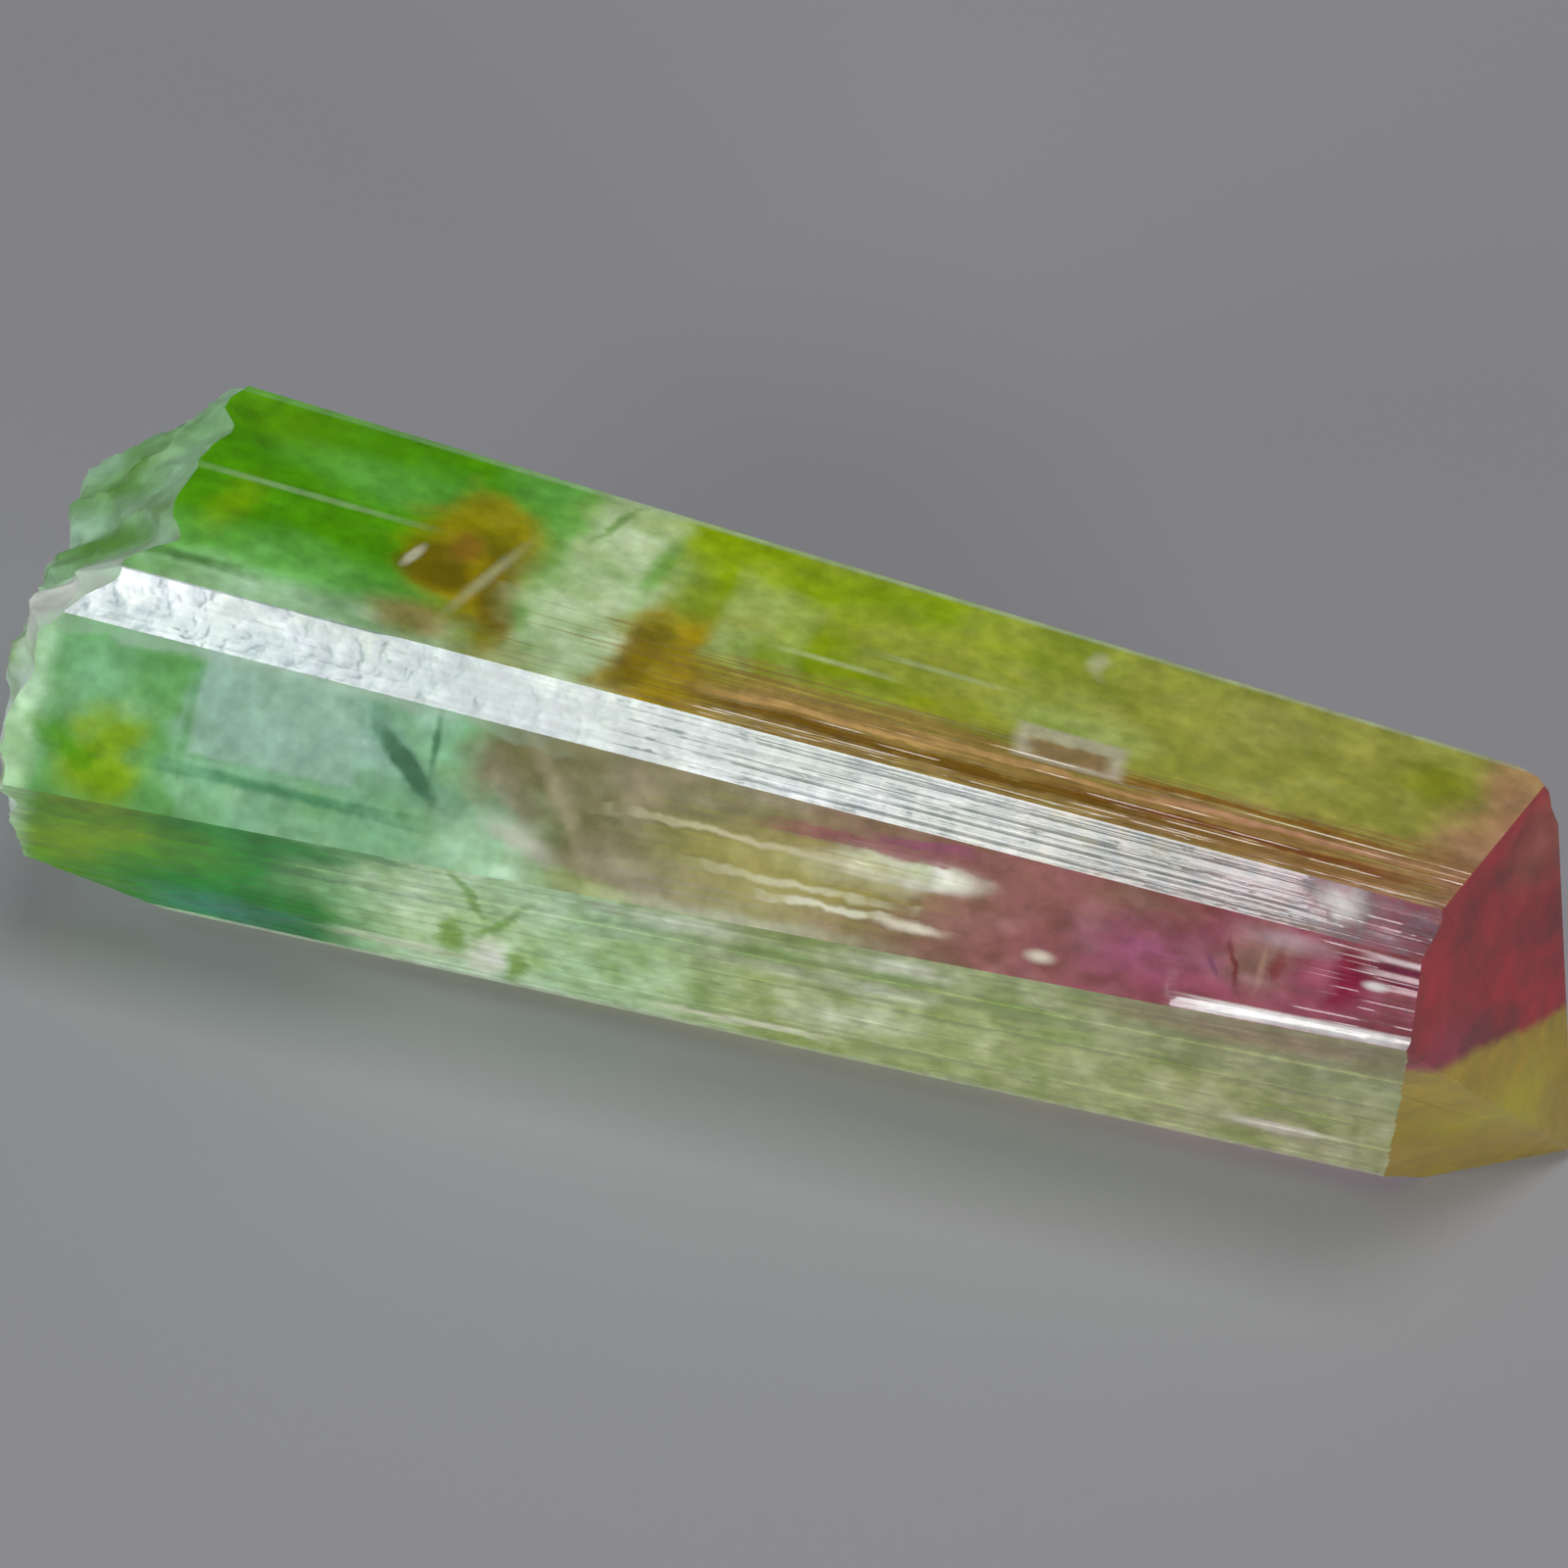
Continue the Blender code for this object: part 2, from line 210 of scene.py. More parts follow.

# Broad patches inside the stone, and painted highlights, worked into the colour of the mesh: place and half
# size on the face chart, counted from the face's own start; turn in degrees from the X direction; soft: how
# gradually the rim fades, as a share of the half size; torn: how far the mottle tears the rim; box:
# rectangular, not oval
Patch = namedtuple("Patch", "face x v half_x half_v turn soft tint strength torn box", defaults=(False,))
PATCHES = (
    # top: haze along the stripe, growth zones of the green end
    Patch("top", -18.0, 0.4, 5.0, 0.8, 0.0, 0.9, "pale_mint", 0.8, 0.4, True),
    Patch("top", -15.5, 6.6, 3.2, 0.9, 0.0, 0.6, "fresh_green", 0.6, 0.3),
    Patch("top", -17.8, 2.2, 1.9, 0.9, -8.0, 0.5, "fresh_green", 0.7, 0.3),
    Patch("top", -19.6, 8.0, 2.2, 0.9, 0.0, 0.9, "moss_green", 0.7, 0.6),
    Patch("top", -20.6, 3.8, 0.5, 1.4, -25.0, 0.9, "spring_yellow", 0.5, 0.4),
    # top: brown stain
    Patch("top", -12.9, 4.2, 1.9, 2.6, -10.0, 0.4, "ochre", 0.8, 0.25),
    Patch("top", -12.6, 5.9, 1.3, 1.3, 0.0, 0.45, "brown_stain", 0.95, 0.25),
    Patch("top", -13.9, 3.5, 1.15, 1.25, 0.0, 0.35, "umber", 0.95, 0.2),
    Patch("top", -13.1, 4.7, 0.5, 0.6, 0.0, 0.6, "copper", 0.8, 0.2),
    Patch("top", -11.8, 2.9, 0.75, 2.1, 12.0, 0.35, "umber", 0.95, 0.2),
    Patch("top", -14.2, 1.1, 1.2, 0.7, 0.0, 0.7, "honey", 0.8, 0.3),
    Patch("top", -10.7, 1.9, 0.35, 1.3, 20.0, 0.5, "vivid_green", 0.9, 0.2),
    # top: pale window, brown wedge and the pale squares after it
    Patch("top", -8.9, 4.6, 1.3, 4.4, -14.0, 0.35, "haze", 0.95, 0.2, True),
    Patch("top", -9.6, 3.2, 1.6, 1.9, 0.0, 0.7, "haze", 0.8, 0.3),
    Patch("top", -7.2, 6.0, 0.35, 1.7, -14.0, 0.6, "vivid_green", 0.7, 0.3),
    Patch("top", -6.2, 2.6, 1.3, 2.3, -14.0, 0.4, "ochre", 0.95, 0.25, True),
    Patch("top", -6.0, 5.2, 0.8, 1.1, -14.0, 0.7, "olive", 0.8, 0.3),
    Patch("top", -7.0, 2.4, 0.6, 2.0, -14.0, 0.35, "umber", 0.8, 0.2),
    Patch("top", -4.2, 4.6, 0.8, 2.1, -10.0, 0.35, "lime_haze", 0.9, 0.2, True),
    Patch("top", -2.7, 5.0, 0.75, 1.7, -10.0, 0.4, "lime_haze", 0.5, 0.2, True),
    # top, right part: muted belt, dark lines beside the stripe, pink breath of the point
    Patch("top", 3.0, 4.7, 6.5, 1.2, 2.0, 0.5, "muted_olive", 0.55, 0.5),
    Patch("top", 10.0, 5.5, 8.0, 3.0, 0.0, 1.6, "muted_olive", 0.85, 1.0),
    Patch("top", 17.9, 6.6, 1.1, 1.0, 0.0, 0.8, "olive", 0.8, 0.4),
    Patch("top", 9.6, 0.6, 2.0, 0.45, 0.0, 0.7, "rust", 0.8, 0.3),
    Patch("top", 14.6, 0.4, 0.9, 0.3, 0.0, 0.7, "rust", 0.8, 0.3),
    Patch("top", 6.4, 4.4, 2.2, 0.9, 0.0, 0.8, "lime_haze", 0.6, 0.4),
    Patch("top", 19.6, 3.0, 1.5, 2.2, 0.0, 0.8, "salmon", 0.85, 0.25),
    Patch("top", 20.4, 6.3, 0.7, 2.6, 8.0, 0.8, "salmon", 0.75, 0.25),
    # front: green end, frame of the clear window, start of the brown veil
    Patch("front", -25.0, 2.0, 0.55, 3.0, 0.0, 0.7, "pale_mint", 0.8, 0.3, True),
    Patch("front", -23.3, 2.7, 1.3, 1.3, 0.0, 0.9, "mint", 0.6, 0.4),
    Patch("front", -22.1, 0.7, 1.3, 1.2, 0.0, 0.5, "lichen", 0.95, 0.4),
    Patch("front", -13.7, 3.4, 1.3, 0.45, -35.0, 0.6, "mint", 0.8, 0.3),
    Patch("front", -12.0, 1.7, 1.4, 0.5, -30.0, 0.8, "sea_green", 0.7, 0.3),
    Patch("front", -10.3, 0.7, 2.2, 0.7, -12.0, 0.5, "pale_mint", 0.5, 0.3),
    Patch("front", -9.6, 2.3, 1.6, 0.35, -45.0, 0.8, "bark", 0.7, 0.3),
    Patch("front", -6.5, 0.1, 1.5, 0.3, -10.0, 0.8, "willow", 0.8, 0.3),
    # front, middle: white streaks, painted highlights of the growth steps
    Patch("front", 0.4, 2.2, 2.2, 0.35, 0.0, 0.8, "milk_and_sheen", 0.6, 0.4),
    Patch("front", 2.9, 2.75, 1.8, 0.42, 0.0, 0.7, "milk_and_sheen", 0.95, 0.35),
    # front, right part: orchid and brown tints, wine-red plate, dusty end
    Patch("front", 10.6, 2.0, 2.0, 1.1, 0.0, 0.9, "orchid", 0.75, 0.4),
    Patch("front", 9.6, 3.6, 1.8, 0.35, 0.0, 0.7, "mauve", 0.8, 0.3),
    Patch("front", 13.6, 2.8, 0.9, 1.4, 0.0, 0.8, "bark", 0.5, 0.35),
    Patch("front", 14.6, 3.5, 1.2, 0.35, 0.0, 0.8, "lilac", 0.7, 0.4),
    Patch("front", 16.7, 2.6, 0.55, 1.1, 0.0, 0.35, "wine", 0.9, 0.25, True),
    Patch("front", 18.2, 2.4, 1.1, 1.7, 0.0, 0.4, "dusty_rose", 0.85, 0.25, True),
    # stripe: a little more pale blue of painted highlight beside the front, and the mauve end
    Patch("stripe", -21.0, 0.35, 5.0, 0.40, 0.0, 0.6, "pale_glare", 0.5, 0.6, True),
    Patch("stripe", 17.9, 1.0, 1.6, 1.2, 0.0, 0.5, "dusty_rose", 0.7, 0.3),
    # lower front: yellow-green blotches, dark green patches, pale clearing
    Patch("lower_front", -24.9, 6.0, 0.55, 7.0, 0.0, 0.7, "pale_mint", 0.8, 0.3, True),
    Patch("lower_front", -22.3, 10.2, 1.2, 1.4, 0.0, 0.5, "lichen", 0.9, 0.3),
    Patch("lower_front", -23.2, 5.6, 1.3, 2.0, 0.0, 0.8, "lichen", 0.85, 0.4),
    Patch("lower_front", -21.3, 8.0, 0.8, 0.9, -30.0, 0.7, "lichen", 0.7, 0.3),
    Patch("lower_front", -17.5, 9.9, 2.1, 0.9, -4.0, 0.5, "deep_green", 0.85, 0.4),
    Patch("lower_front", -15.3, 9.6, 1.5, 0.9, -4.0, 0.8, "deep_green", 0.8, 0.4),
    Patch("lower_front", -17.8, 1.6, 2.4, 1.2, 0.0, 0.8, "teal", 0.7, 0.4),
    Patch("lower_front", -10.6, 6.0, 2.5, 4.6, 0.0, 0.9, "haze", 0.5, 0.7),
    Patch("lower_front", -9.5, 2.3, 0.55, 1.9, 0.0, 0.7, "milk_and_sheen", 0.9, 0.3),
    Patch("lower_front", -5.6, 9.4, 1.2, 0.8, 0.0, 0.8, "mint", 0.75, 0.4),
    # lower front, right part: milky drifts, moss specks, mauve rim below the front
    Patch("lower_front", -3.0, 9.6, 3.6, 0.7, -2.0, 0.8, "milk_and_sheen", 0.5, 0.5),
    Patch("lower_front", 2.6, 9.4, 2.0, 0.9, -3.0, 0.7, "milk_and_sheen", 0.6, 0.35),
    Patch("lower_front", 0.8, 7.0, 2.8, 0.8, 0.0, 0.8, "milk_and_sheen", 0.5, 0.5),
    Patch("lower_front", 1.6, 4.0, 1.9, 1.6, 0.0, 0.9, "milk_and_sheen", 0.5, 0.5),
    Patch("lower_front", -0.8, 8.5, 1.2, 0.7, 0.0, 0.8, "moss_green", 0.5, 0.4),
    Patch("lower_front", 3.0, 8.4, 1.6, 0.5, 0.0, 0.8, "moss_green", 0.5, 0.4),
    Patch("lower_front", 7.4, 7.6, 1.7, 0.7, 0.0, 0.8, "moss_green", 0.4, 0.4),
    Patch("lower_front", 8.6, 6.2, 0.9, 0.6, 0.0, 0.8, "moss_green", 0.4, 0.3),
    Patch("lower_front", 15.0, 9.7, 5.0, 1.1, 0.0, 0.6, "mauve", 0.6, 0.3),
    # point: pale ridge painted as its glint, plum heart, brick-red top, plum breath on the yellow part
    Patch("point", 0.2, 3.3, 1.7, 0.35, -15.0, 0.9, "lilac", 0.6, 0.2),
    Patch("point", 1.5, 1.2, 2.0, 1.4, 0.0, 0.4, "plum", 0.8, 0.4),
    Patch("point", 1.6, 12.9, 2.2, 1.1, 0.0, 0.9, "brick", 0.75, 0.3),
    Patch("point", -5.6, 9.2, 2.4, 1.3, -20.0, 0.8, "plum", 0.3, 0.4),
    # broken end: green shining through the frosted surface, a white bruise that is partly painted highlight
    Patch("broken", 3.4, 12.6, 2.2, 1.4, 0.0, 0.9, "fresh_green", 0.4, 0.6),
    Patch("broken", -0.8, 11.6, 1.4, 1.3, 0.0, 0.9, "leaf_green", 0.4, 0.6),
    Patch("broken", -8.0, 7.5, 2.0, 4.0, 0.0, 0.8, "frost_and_glare", 0.5, 0.4),
)

# Fine marks, drawn over them in the material: cracks, dashes, hairlines, specks and painted glints and
# highlights.
# They are given as the patches are; grain: which grain tears the rim, and ragged: how much
Mark = namedtuple(
    "Mark", "face x v half_x half_v turn soft colour strength grain ragged box", defaults=(False,))
MARKS = (
    # top: growth lines of the green end, the pale one painted as the highlight of its riser, a painted glint,
    # pale cracks in the brown stain
    Mark("top", -18.4, 5.10, 3.3, 0.12, 0.0, 0.5, "#b4dc96", 0.7, "cloud", 0.2, True),
    Mark("top", -21.3, 1.08, 1.6, 0.20, -1.0, 0.8, "#3c7800", 0.75, "fine", 0.2, True),
    Mark("top", -14.7, 3.75, 0.17, 0.5, -25.0, 0.6, "#fff5dc", 0.95, "fine", 0.2),
    Mark("top", -12.3, 3.6, 1.7, 0.17, 65.0, 1.0, "#dcd7aa", 0.8, "fine", 0.2),
    Mark("top", -9.0, 7.6, 0.9, 0.12, 62.0, 0.8, "#82be46", 0.7, "fine", 0.3),
    # top, right part: pale lines painted as the highlight of a growth step, brown striated band with a small
    # framed patch, a pale spot
    Mark("top", -1.0, 4.15, 1.6, 0.12, 0.0, 0.6, "#e1f0aa", 0.75, "streak", 0.2, True),
    Mark("top", 2.1, 5.15, 1.6, 0.12, 0.0, 0.6, "#dcebaa", 0.7, "streak", 0.2, True),
    Mark("top", 7.4, 1.3, 11.8, 1.4, 0.0, 0.4, "#b48c4e", 0.85, "streak", 0.7, True),
    Mark("top", -0.5, 1.45, 3.6, 0.16, 0.0, 0.5, "#ffc882", 0.9, "streak", 0.25, True),
    Mark("top", 6.5, 1.75, 4.5, 0.14, 0.0, 0.5, "#f5be82", 0.8, "streak", 0.3, True),
    Mark("top", 3.0, 0.85, 8.0, 0.20, 0.0, 0.5, "#8c5f00", 0.9, "streak", 0.3, True),
    Mark("top", 12.0, 1.15, 4.5, 0.16, 0.0, 0.5, "#914600", 0.85, "streak", 0.3, True),
    Mark("top", 13.5, 1.9, 4.0, 0.14, 0.0, 0.5, "#f5b991", 0.8, "streak", 0.3, True),
    Mark("top", 12.6, 2.5, 4.0, 0.16, 0.0, 0.5, "#a06400", 0.7, "streak", 0.4, True),
    Mark("top", 6.6, 3.0, 1.75, 0.85, 0.0, 0.15, "#ebe1d2", 0.75, "fine", 0.05, True),
    Mark("top", 6.6, 2.8, 1.25, 0.42, 0.0, 0.3, "#a5783c", 0.8, "fine", 0.1, True),
    Mark("top", 7.0, 7.7, 0.35, 0.5, 0.0, 0.9, "#ffffdc", 0.6, "fine", 0.3),
    # front: moss streak, clear window and its frame, dark crack, white flaw, veil, pale rim
    Mark("front", -23.5, 1.15, 1.1, 0.28, -18.0, 0.8, "#5aa000", 0.85, "fine", 0.3),
    Mark("front", -16.9, 1.12, 3.3, 0.14, -1.4, 0.8, "#4b8c64", 0.85, "fine", 0.2, True),
    Mark("front", -17.2, 2.75, 2.55, 1.15, 0.0, 0.06, "#a8cdbc", 0.85, "fine", 0.04, True),
    Mark("front", -20.0, 2.6, 0.12, 1.5, 0.0, 0.8, "#64a564", 0.5, "fine", 0.1, True),
    Mark("front", -14.0, 3.15, 1.25, 0.42, -36.0, 0.5, "#7daa96", 0.8, "fine", 0.2),
    Mark("front", -13.1, 2.45, 1.45, 0.27, -35.0, 0.4, "#46735a", 0.95, "fine", 0.15),
    Mark("front", -12.4, 3.2, 0.7, 0.12, -85.0, 0.7, "#3c7355", 0.8, "fine", 0.2),
    Mark("front", -9.4, 1.15, 1.0, 0.3, -25.0, 0.8, "#e6e1d7", 0.7, "fine", 0.3),
    Mark("front", -8.3, 2.5, 2.6, 0.22, -50.0, 0.9, "#cdb9a5", 0.35, "cloud", 0.2),
    Mark("front", -2.5, 0.1, 3.6, 0.25, 0.0, 0.8, "#d2d7be", 0.7, "cloud", 0.3),
    # front, middle: straw tint, pale and white streaks painted as highlights of the growth steps, purple
    # lines below the stripe
    Mark("front", -1.0, 1.9, 3.4, 1.3, 0.0, 0.8, "#b4aa5a", 0.75, "streak", 0.4),
    Mark("front", -2.4, 2.6, 3.0, 0.09, 0.0, 0.9, "#e6dcbe", 0.8, "fine", 0.7, True),
    Mark("front", -0.3, 1.5, 2.2, 0.10, 0.0, 0.9, "#f0ebcd", 0.8, "fine", 0.7, True),
    Mark("front", 1.4, 3.35, 3.0, 0.20, 0.0, 0.5, "#a05a6e", 0.8, "streak", 0.3, True),
    Mark("front", 2.9, 3.75, 1.6, 0.16, 0.0, 0.5, "#9b5078", 0.8, "streak", 0.3, True),
    Mark("front", 0.7, 1.05, 1.5, 0.10, 0.0, 0.9, "#ffffeb", 0.9, "fine", 0.7, True),
    Mark("front", 3.2, 0.92, 0.8, 0.16, 0.0, 0.8, "#fff5e6", 0.9, "fine", 0.25),
    Mark("front", 7.2, 0.87, 0.35, 0.18, 0.0, 0.9, "#fff5e6", 0.9, "fine", 0.2),
    # front, right part: cracks, lines of the mauve end, a painted glint, a white strip along the ledge
    # painted as its highlight
    Mark("front", 13.0, 2.15, 0.80, 0.10, -67.0, 0.9, "#6e1e28", 0.8, "fine", 0.3),
    Mark("front", 12.4, 1.75, 0.45, 0.10, -60.0, 0.9, "#643264", 0.6, "fine", 0.3),
    Mark("front", 14.0, 2.2, 0.80, 0.09, 84.0, 0.9, "#c8a08c", 0.55, "fine", 0.3),
    Mark("front", 14.5, 2.4, 0.50, 0.16, 84.0, 0.9, "#8c2332", 0.6, "fine", 0.3),
    Mark("front", 18.1, 3.72, 1.0, 0.13, 0.0, 0.6, "#f5e1e6", 0.9, "streak", 0.2, True),
    Mark("front", 18.3, 3.40, 1.0, 0.12, 0.0, 0.6, "#78284b", 0.9, "streak", 0.2, True),
    Mark("front", 18.3, 3.08, 1.0, 0.12, 0.0, 0.6, "#f5dce1", 0.9, "streak", 0.2, True),
    Mark("front", 18.5, 2.78, 0.8, 0.12, 0.0, 0.6, "#78284b", 0.8, "streak", 0.2, True),
    Mark("front", 18.5, 2.50, 0.8, 0.11, 0.0, 0.6, "#ebcdd2", 0.8, "streak", 0.2, True),
    Mark("front", 17.4, 2.45, 0.35, 0.18, 0.0, 0.7, "#ffffff", 0.9, "fine", 0.2),
    Mark("front", 15.6, 0.28, 3.4, 0.24, 0.0, 0.35, "#ffffff", 0.95, "streak", 0.15, True),
    # stripe and the rim below it: bluish and greyish mottles that break up the stripe's painted highlight, a
    # painted glint
    Mark("stripe", -17.0, 0.35, 5.5, 0.45, 0.0, 0.8, "#cde1e6", 0.7, "fine", 0.8, True),
    Mark("stripe", -11.0, 0.9, 3.0, 0.9, 0.0, 0.9, "#b0c4c3", 0.7, "fine", 0.8, True),
    Mark("front", -17.5, 4.05, 6.0, 0.20, 0.0, 0.9, "#bed7c8", 0.7, "fine", 0.4, True),
    Mark("stripe", -10.0, 0.9, 14.0, 1.2, 0.0, 1.6, "#a5b9cd", 0.7, "fine", 1.2),
    Mark("stripe", -1.0, 0.9, 10.0, 1.2, 0.0, 1.6, "#9ba5a5", 0.7, "streak", 1.2),
    Mark("stripe", 15.9, 1.2, 0.6, 0.5, 0.0, 0.8, "#ffffff", 0.9, "fine", 0.3),
    # lower front: green streak, cracks round the pale clearing, white dashes
    Mark("lower_front", -13.8, 10.3, 1.3, 0.35, -6.0, 0.7, "#5faa64", 0.8, "fine", 0.3),
    Mark("lower_front", -12.0, 1.9, 2.2, 0.45, 0.0, 0.6, "#f5ffe6", 0.9, "streak", 0.25),
    Mark("lower_front", -10.4, 8.2, 2.5, 0.20, -75.0, 0.7, "#82b950", 0.8, "fine", 0.25),
    Mark("lower_front", -10.7, 4.0, 0.35, 1.8, 0.0, 0.7, "#87b437", 0.85, "fine", 0.3),
    Mark("lower_front", -9.2, 6.0, 2.2, 0.18, 72.0, 0.7, "#82b950", 0.8, "fine", 0.25),
    Mark("lower_front", -8.5, 2.2, 0.30, 1.6, 0.0, 0.7, "#82af37", 0.85, "fine", 0.3),
    Mark("lower_front", -1.0, 1.35, 2.4, 0.28, 0.0, 0.6, "#fffff0", 0.95, "streak", 0.25, True),
    Mark("lower_front", 16.0, 2.2, 1.3, 0.35, -4.0, 0.8, "#f5f5eb", 0.85, "streak", 0.3),
    # point: yellow lower part, its brighter and its browner cloud
    Mark("point", -3.0, 2.2, 9.0, 5.3, -22.0, 0.05, "#b4a000", 0.92, "cloud", 0.03, True),
    Mark("point", -1.5, 4.6, 2.0, 1.1, -15.0, 1.0, "#c8c300", 0.9, "fine", 0.6),
    Mark("point", -3.4, 2.0, 3.0, 1.2, -10.0, 1.0, "#c3aa46", 0.7, "cloud", 0.6),
    # pale rims along the edges: painted edge highlight
    Mark("top", 6.0, 8.86, 20.0, 0.10, 0.0, 0.8, "#d2ebc8", 0.7, "streak", 0.15, True),
    Mark("lower_front", -14.0, 0.1, 12.0, 0.16, 0.0, 0.8, "#e6f5e1", 0.8, "streak", 0.15, True),
    Mark("lower_front", 8.0, 0.1, 22.0, 0.16, 0.0, 0.8, "#c8d2b9", 0.6, "streak", 0.15, True),
    # broken end: green pockets showing through the frosted surface, a white bruise that is partly painted
    # highlight
    Mark("broken", 2.3, 12.1, 1.5, 0.9, 20.0, 0.8, "#5f9b00", 0.8, "cloud", 0.4),
    Mark("broken", -1.0, 11.6, 0.8, 1.1, 0.0, 0.8, "#5a9600", 0.8, "cloud", 0.4),
    Mark("broken", -4.6, 12.5, 1.7, 1.0, 0.0, 0.8, "#ffffff", 0.95, "fine", 0.5),
)

# ---------------------------------------------------------------------------------------------------
# View
# ---------------------------------------------------------------------------------------------------
VIEW_TARGET = np.array((-1.73, 2.25, 6.6))
VIEW_HEIGHT_ANGLE = math.radians(40.0)  # how far above the horizon the camera stands
VIEW_ROLL = math.radians(14.5)
VIEW_DISTANCE = 300.0
PIXELS_PER_RADIAN = 9600.0  # of a frame 1600 pixels wide
FRAME_PIXELS = 1600.0
SENSOR_MM = 36.0


def linear(hex_colour):
    """Turn an sRGB hex colour into linear red, green and blue, with an alpha of 1."""
    channels = [int(hex_colour[i:i + 2], 16) / 255 for i in (1, 3, 5)]
    return tuple(c / 12.92 if c <= 0.04045 else ((c + 0.055) / 1.055) ** 2.4 for c in channels) + (1.0,)


def add(tree, kind, inputs=None, **settings):
    """Add a shader node, give it its settings, and feed its inputs with values or other nodes' outputs."""
    node = tree.nodes.new(kind)
    for name, value in settings.items():
        setattr(node, name, value)
    for name, value in (inputs or {}).items():
        if isinstance(value, bpy.types.NodeSocket):
            tree.links.new(value, node.inputs[name])
        else:
            node.inputs[name].default_value = value
    return node


# ---------------------------------------------------------------------------------------------------
# Mesh of the crystal
# ---------------------------------------------------------------------------------------------------
def outward(face):
    """Unit vector (y, z) in which a face looks."""
    turn = math.radians(face.turn)
    return np.array((-math.cos(turn), math.sin(turn)))


def corner(face_a, face_b, x):
    """Where two faces meet in the sections at x: both equations out.p = reach - x tan(lean), solved."""
    (ya, za), (yb, zb) = outward(face_a), outward(face_b)
    reach_a = face_a.reach - x * math.tan(math.radians(face_a.lean))
    reach_b = face_b.reach - x * math.tan(math.radians(face_b.lean))
    det = ya * zb - za * yb
    y = (reach_a * zb - reach_b * za) / det
    z = (ya * reach_b - yb * reach_a) / det + AXIS_HEIGHT
    return np.stack((y, z), -1)


def face_width(face):
    """Width of the face at mid length."""
    index = PRISM.index(face)
    start = corner(PRISM[index - 1], face, np.zeros(1))
    end = corner(face, PRISM[(index + 1) % FACE_COUNT], np.zeros(1))
    return float(np.linalg.norm(end - start))


def waves(along, seed, length):
    """Smooth wander between about -1 and 1: three sines whose lengths differ by odd ratios."""
    phase = seed * 12.9898
    return (
        np.sin(2 * np.pi * along / length + phase)
        + 0.6 * np.sin(2 * np.pi * along / (length * 0.43) + phase * 1.7)
        + 0.4 * np.sin(2 * np.pi * along / (length * 0.19) + phase * 2.9)
    ) / 1.6


def lumps(y, z, cell, seed):
    """Smooth bumps between -1 and 1: random heights on a square lattice, eased into each other.

    The lattice repeats itself after LATTICE_SIZE cells.
    """
    heights = np.random.default_rng(seed).uniform(-1, 1, (LATTICE_SIZE, LATTICE_SIZE))
    u, v = y / cell, z / cell
    row, column = np.floor(u).astype(int), np.floor(v).astype(int)
    ease_u = (u - row) ** 2 * (3 - 2 * (u - row))
    ease_v = (v - column) ** 2 * (3 - 2 * (v - column))
    row, column = row % LATTICE_SIZE, column % LATTICE_SIZE
    next_row, next_column = (row + 1) % LATTICE_SIZE, (column + 1) % LATTICE_SIZE
    near = heights[row, column] * (1 - ease_v) + heights[row, next_column] * ease_v
    far = heights[next_row, column] * (1 - ease_v) + heights[next_row, next_column] * ease_v
    return near * (1 - ease_u) + far * ease_u


def step_columns(face, rng):
    """Shares of the face's width where lines run along it, and each line's depth below the face.

    Every growth step is a riser between two levels. Its width is its height over the tangent of 30 degrees
    where it steps inward, so that it lies in the neighbouring crystal face, and a third of that outward.
    The corners of the face's larger ledges are lines too.
    """
    width = face_width(face)
    shares, depths, seeds = [0.0], [0.0], [0.0]
    level = 0.0
    for index in range(face.steps):
        place = (index + 0.5 + rng.uniform(-STEP_SHAKE, STEP_SHAKE)) / face.steps
        place = STEP_MARGIN + (1 - 2 * STEP_MARGIN) * place ** face.crowd
        last = index == face.steps - 1
        relief = face.relief * (1 - place) ** face.taper
        new_level = 0.0 if last else relief * rng.random() ** LOW_STEPS
        new_level = new_level if new_level > LEAST_STEP else 0.0
        slope = RISER_SLOPE if new_level > level else RISER_SLOPE * OUTWARD_RISER
        least, most = (share / face.steps for share in RISER_HALF_WIDTHS)
        half = min(max(abs(new_level - level) / slope / width / 2, least), most)
        tilt = rng.uniform(-STEP_TILT, STEP_TILT, 2) * relief
        shares += [place - half, place + half]
        depths += [level + tilt[0] * (not last), new_level + tilt[1] * (not last)]
        seeds += [seeds[-1], float(index + 1)]
        level = new_level
    ledges = [ledge for ledge in LEDGES if ledge.face == face.name]
    extra = [share for ledge in ledges for share, _ in ledge.profile if 0 < share < 1]
    order = np.argsort(shares)
    shares, depths, seeds = np.array(shares)[order], np.array(depths)[order], np.array(seeds)[order]
    depths = np.concatenate((depths, np.interp(extra, shares, depths)))
    seeds = np.concatenate((seeds, np.interp(extra, shares, seeds)))
    return np.concatenate((shares, extra)), depths, seeds


def all_columns():
    """Every line along the prism: its face, its share of the face's width, its depth and its wander seed."""
    rng = np.random.default_rng(5)
    parts = []
    for index, face in enumerate(PRISM):
        shares, depths, seeds = step_columns(face, rng)
        order = np.argsort(shares)
        parts.append((np.full(len(shares), index), shares[order], depths[order], seeds[order] + 50 * index))
    return [np.concatenate(column) for column in zip(*parts)]


def smooth_step(value):
    """Ease from 0 to 1 while value goes from 0 to 1."""
    t = np.clip(value, 0, 1)
    return t * t * (3 - 2 * t)


def sunk_depth(face, share, depth, seed, x):
    """Depth of the lines below their face at x: growth steps that swell and wander, plus the ledges."""
    swell_x, swell = zip(*face.swell)
    wander = 1 + 0.35 * waves(x, seed, 11.0) + 0.2 * waves(x, share * 3.0, 19.0)
    sunk = depth * np.interp(x, swell_x, swell) * wander
    for ledge in LEDGES:
        if ledge.face == face.name:
            shares, drops = zip(*ledge.profile)
            stretch = smooth_step((x - ledge.start) / ledge.fade) * smooth_step((ledge.end - x) / ledge.fade)
            sunk = sunk + np.interp(share, shares, drops) * stretch
    return sunk


